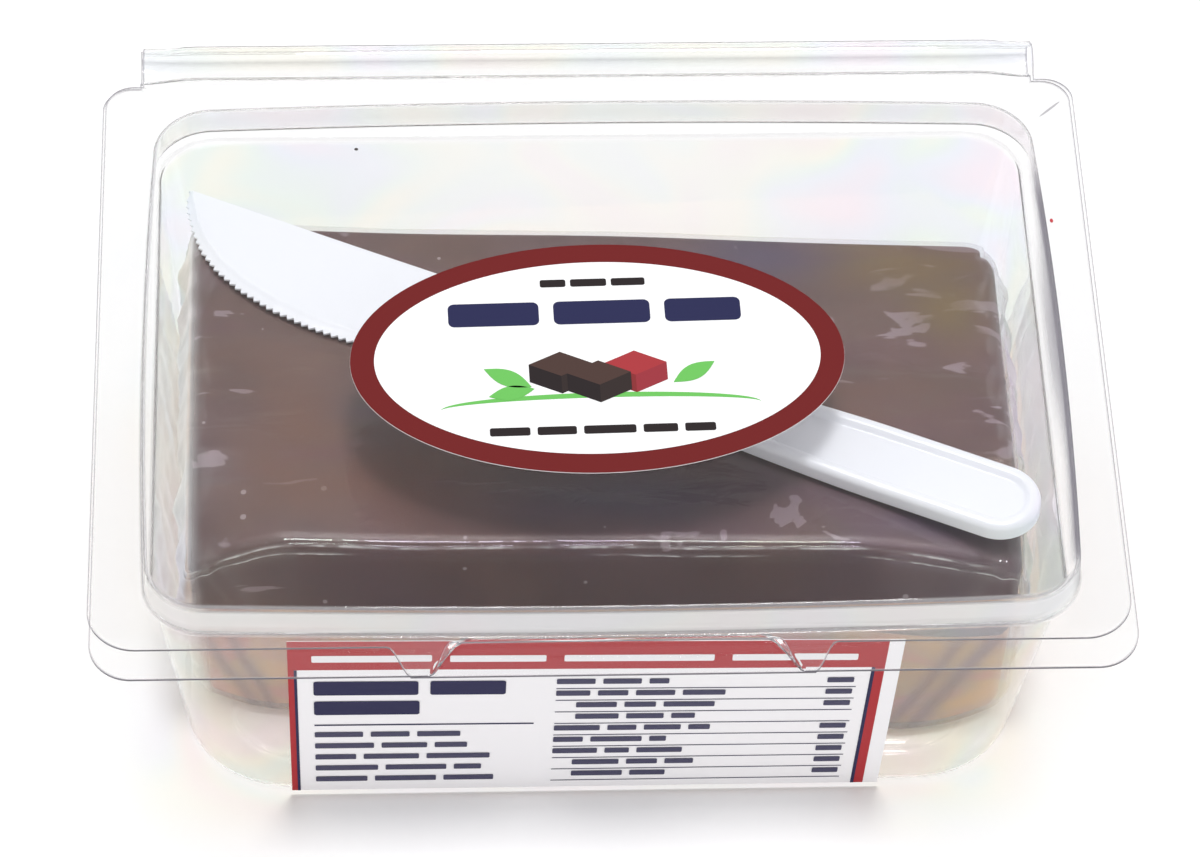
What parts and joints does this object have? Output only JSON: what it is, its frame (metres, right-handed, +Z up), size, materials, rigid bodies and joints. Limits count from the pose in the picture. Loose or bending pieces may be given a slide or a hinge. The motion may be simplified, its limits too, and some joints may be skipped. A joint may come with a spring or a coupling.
{
  "type": "packed chocolate fudge",
  "caption": "Block of chocolate fudge on a light layer, wrapped in clear film, shut in a clear hinged pack with a domed lid, a white plastic knife and paper labels.",
  "frame": {"origin": "on the surface that the pack stands on, under the middle of the pack's box", "axes": "+X to the right seen from the front, +Y from the front label to the hinge, +Z up"},
  "size_m": [0.173, 0.1416, 0.0597],
  "materials": {
    "clear_plastic": "glossy formed clear sheet",
    "wrapped_fudge": "chocolate fudge under tight clear film",
    "light_fudge": "peanut-coloured fudge under clear film",
    "white_plastic": "moulded, semi-gloss",
    "label_paper": "coated paper with print",
    "label_red": "coated paper with print"
  },
  "bodies": {
    "tray": {"tub": "clear_plastic", "fudge": "wrapped_fudge", "fudge_base": "light_fudge", "knife": "white_plastic", "front_label": "label_paper"},
    "cover": {"lid": "clear_plastic", "lid_label": "label_red"}
  },
  "joints": [
    {"name": "lid_hinge", "type": "hinge", "parent": "tray", "child": "cover", "pos_m": [0, 0.0708, 0.05215], "axis": [-1, 0, 0], "range_deg": [0, 180]}
  ]
}
